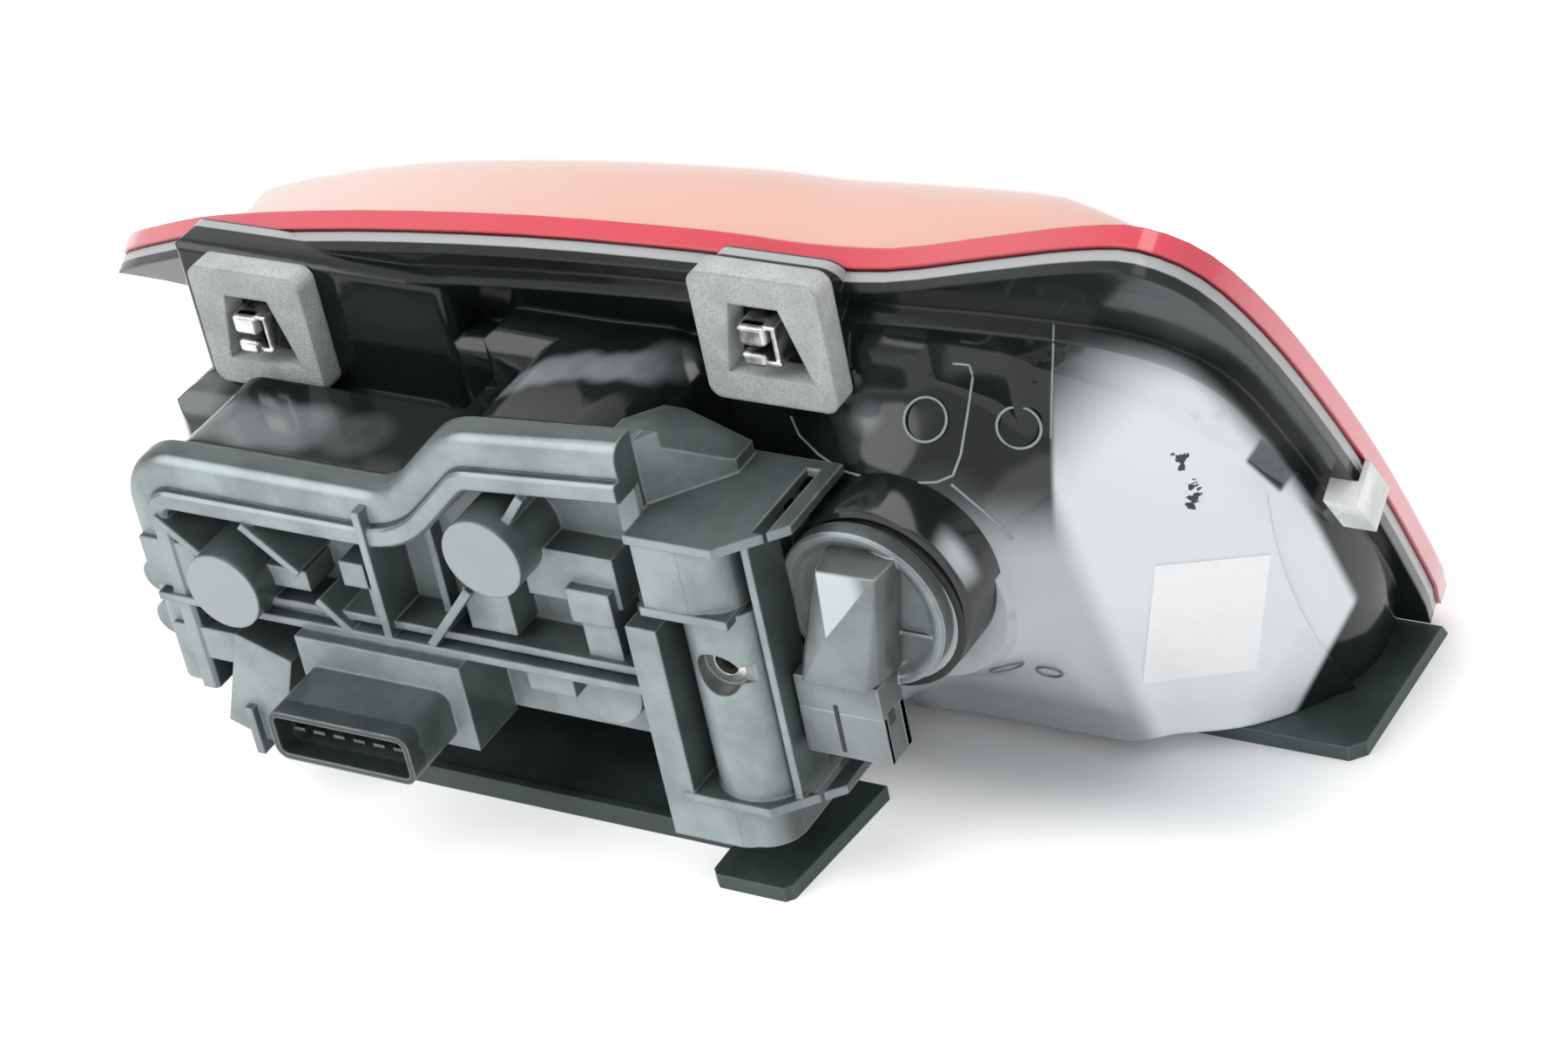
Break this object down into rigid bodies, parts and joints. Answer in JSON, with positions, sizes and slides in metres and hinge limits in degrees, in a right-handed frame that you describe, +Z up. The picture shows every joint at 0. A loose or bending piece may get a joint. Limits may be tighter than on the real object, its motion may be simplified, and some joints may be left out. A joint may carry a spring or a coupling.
{
  "type": "tail light cluster",
  "caption": "Car rear lamp cluster seen from its back: red lens, black housing, clip-in bulb carrier with connector, eighth-turn bulb holder, spring clips and threaded fixing.",
  "frame": {"origin": "mouth of the threaded fixing insert in the latch column, on its axis", "axes": "+X along the lamp from its pointed inboard tip to its outboard end, +Y towards the lens, +Z up as it stands on its lower skirt"},
  "size_m": [0.2985, 0.1534, 0.1503],
  "materials": {
    "lens_red": "gloss",
    "housing_black": "gloss",
    "skirt_black": "matte",
    "reflector": "gloss",
    "carrier_plastic": "satin",
    "seal_rubber": "matte",
    "bulb_cap": "satin",
    "bulb_glass": "clear",
    "bulb_amber": "clear",
    "brass": "satin",
    "socket_plastic": "satin",
    "zinc": "satin",
    "foam": "matte",
    "bright_clip": "gloss",
    "label_white": "matte"
  },
  "bodies": {
    "root": {"lens": "lens_red", "housing": "housing_black", "base_skirt": "skirt_black", "reflector": "reflector", "bulb_carrier": "carrier_plastic", "carrier_seal": "seal_rubber", "cap_left": "bulb_cap", "cap_centre": "bulb_cap", "cap_lower": "bulb_cap", "glass_left": "bulb_glass", "glass_centre": "bulb_glass", "glass_lower": "bulb_glass", "contact_strip": "brass", "connector_pins": "brass", "turn_socket": "socket_plastic", "socket_seal": "seal_rubber", "side_cap": "bulb_cap", "side_glass": "bulb_amber", "socket_pins": "brass", "clip_left": "zinc", "clip_right": "zinc", "pad_left": "foam", "pad_right": "foam", "edge_clip": "bright_clip", "fixing_insert": "brass", "rating_label": "label_white"}
  },
  "joints": []
}
